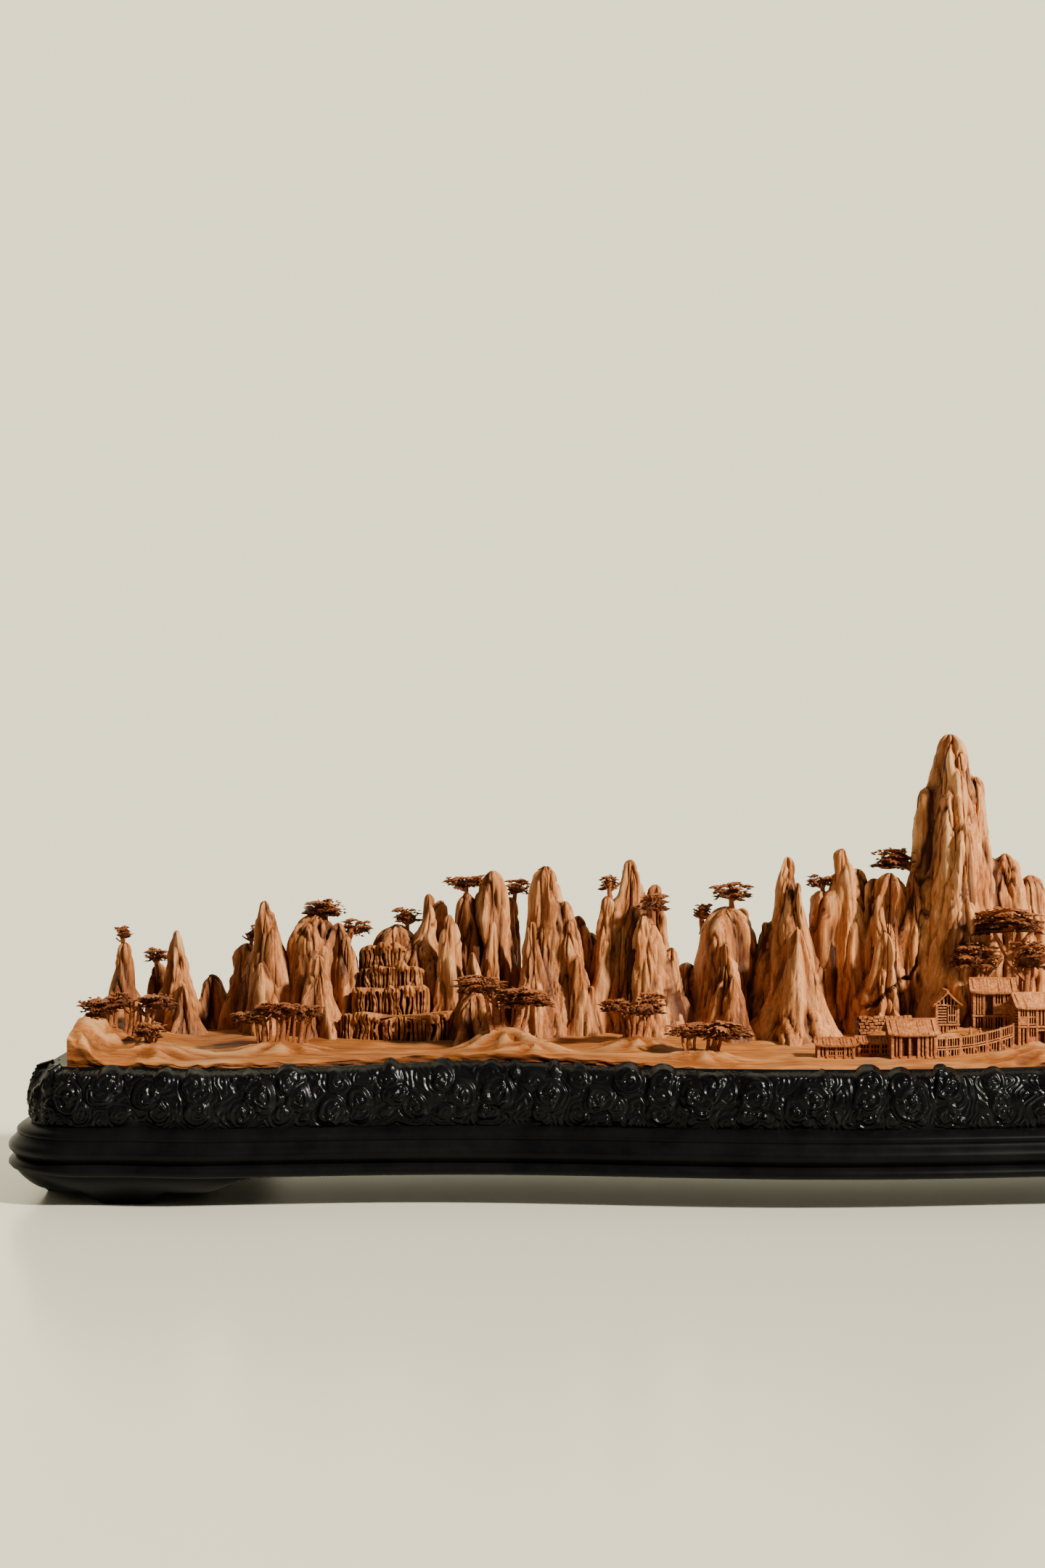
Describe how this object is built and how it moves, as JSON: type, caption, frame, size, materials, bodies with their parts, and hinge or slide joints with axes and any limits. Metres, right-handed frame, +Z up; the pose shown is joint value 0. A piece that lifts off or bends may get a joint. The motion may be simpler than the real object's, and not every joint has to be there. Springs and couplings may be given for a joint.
{
  "type": "sandalwood mountain carving",
  "caption": "Long mountain landscape carved from one log, with pines, a stepped waterfall and a village, resting in the bed of a black scroll-carved stand on corner feet.",
  "frame": {"origin": "on the surface it stands on, under the middle of the stand", "axes": "+X along the carving towards its right end, -Y towards the front with the village, +Z up"},
  "size_m": [1.2, 0.248, 0.274],
  "materials": {
    "sandalwood": "satin, carved with fine tool lines, darker in the hollows",
    "black_lacquer": "black lacquer, glossy on the carved band and duller on the mouldings"
  },
  "bodies": {
    "root": {"sandalwood_landscape": "sandalwood", "carved_stand": "black_lacquer"}
  },
  "joints": []
}
